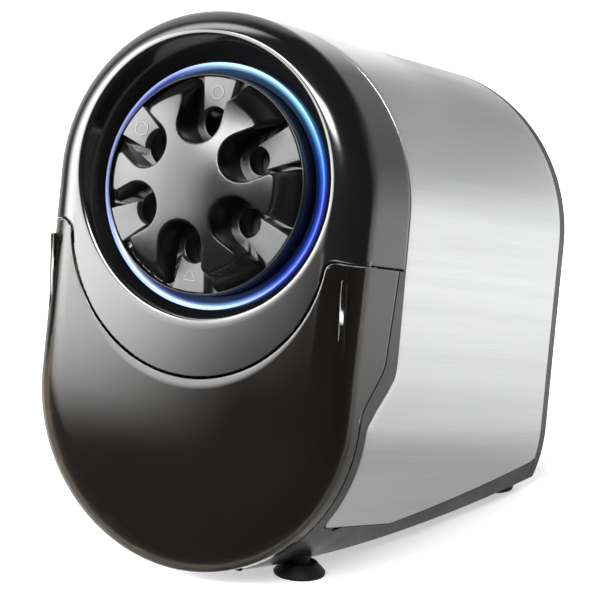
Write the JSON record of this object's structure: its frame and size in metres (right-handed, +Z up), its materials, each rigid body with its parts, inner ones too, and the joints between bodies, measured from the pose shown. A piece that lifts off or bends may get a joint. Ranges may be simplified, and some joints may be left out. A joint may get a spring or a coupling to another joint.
{
  "type": "electric pencil sharpener",
  "caption": "Electric pencil sharpener with a selector dial in a lit ring, a pull-out smoked shavings tray and a brushed wrap-around shell on suction feet.",
  "frame": {"origin": "centre of the bounding box on the desk, under the suction feet", "axes": "+Z up, -Y towards the user (front), +X to the right seen from the front"},
  "size_m": [0.11, 0.181, 0.1783],
  "materials": {
    "brushed_skin": "brushed along the body, satin",
    "bezel_black": "high gloss, faint metallic",
    "base_black": "fine moulded texture",
    "smoke": "translucent smoke brown, polished",
    "dial_black": "satin gloss",
    "light_blue": "frosted light guide, lit blue",
    "led": "clear epoxy",
    "board_green": "solder mask",
    "component": "moulded",
    "nylon": "natural nylon",
    "frame_black": "moulded",
    "steel": "ground",
    "cutter_steel": "hardened, ground edges",
    "zinc_plate": "zinc-plated sheet",
    "brass": "machined",
    "copper_windings": "enamelled copper on laminations",
    "ferrite": "sintered",
    "rubber_black": "soft matte"
  },
  "bodies": {
    "root": {"silver_shell": "brushed_skin", "front_bezel": "bezel_black", "base_chassis": "base_black", "rear_cover": "base_black", "light_ring": "light_blue", "light_board": "board_green", "leds": "led", "guide_frame": "frame_black", "dial_axle": "steel", "detent_spring": "steel", "cutter_frame": "frame_black", "ring_gear": "nylon", "carrier_bearing": "brass", "gear_plate": "zinc_plate", "rear_bush": "brass", "idler_pin": "steel", "motor_can": "zinc_plate", "motor_magnets": "ferrite", "motor_endcap": "frame_black", "motor_screws": "steel", "thermal_cutout": "component", "control_board": "board_green", "board_components": "component", "lever_pin": "steel", "start_switch": "component", "tray_switch": "component", "switch_leaf": "steel", "cord_gland": "rubber_black", "suction_feet": "rubber_black", "base_screws": "steel", "plate_screws": "steel"},
    "dial": {"selector_dial": "dial_black"},
    "tray": {"shavings_tray": "smoke"},
    "carrier": {"cutter_carrier": "steel", "carrier_gear": "nylon", "cutter_spindle": "steel"},
    "cutter": {"helical_cutter": "cutter_steel", "cutter_pinion": "brass"},
    "idler": {"idler_gear": "nylon"},
    "rotor": {"motor_shaft": "steel", "motor_armature": "copper_windings", "motor_pinion": "brass", "motor_fan": "frame_black"},
    "lever": {"start_lever": "nylon"}
  },
  "joints": [
    {"name": "dial_spin", "type": "hinge", "parent": "root", "child": "dial", "pos_m": [0, -0.076, 0.1265], "axis": [0, 0.9736, -0.2284], "continuous": true, "deforming": ["detent_spring"]},
    {"name": "tray_slide", "type": "slide", "parent": "root", "child": "tray", "axis": [0, -1, 0], "range_m": [0, 0.115], "deforming": ["switch_leaf"]},
    {"name": "motor_spin", "type": "hinge", "parent": "root", "child": "rotor", "pos_m": [0, -0.08315, 0.09603], "axis": [0, 0.9736, -0.2284], "continuous": true},
    {"name": "idler_spin", "type": "hinge", "parent": "root", "child": "idler", "pos_m": [0, -0.07822, 0.11706], "axis": [0, 0.9736, -0.2284], "continuous": true},
    {"name": "carrier_spin", "type": "hinge", "parent": "root", "child": "carrier", "pos_m": [0, -0.07159, 0.14529], "axis": [0, 0.9736, -0.2284], "continuous": true},
    {"name": "cutter_spin", "type": "hinge", "parent": "carrier", "child": "cutter", "pos_m": [0, -0.03536, 0.14912], "axis": [0, 0.9121, -0.4099], "continuous": true},
    {"name": "lever_tilt", "type": "hinge", "parent": "root", "child": "lever", "pos_m": [0, -0.05412, 0.12784], "axis": [-1, 0, 0], "range_deg": [0, 12], "stiffness_Nm_per_rad": 0.004, "springref_deg": -5.73}
  ],
  "couplings": [
    {"joint": "idler_spin", "follows": "motor_spin", "ratio": -0.28571},
    {"joint": "carrier_spin", "follows": "motor_spin", "ratio": 0.090909},
    {"joint": "cutter_spin", "follows": "motor_spin", "ratio": -0.28571}
  ]
}
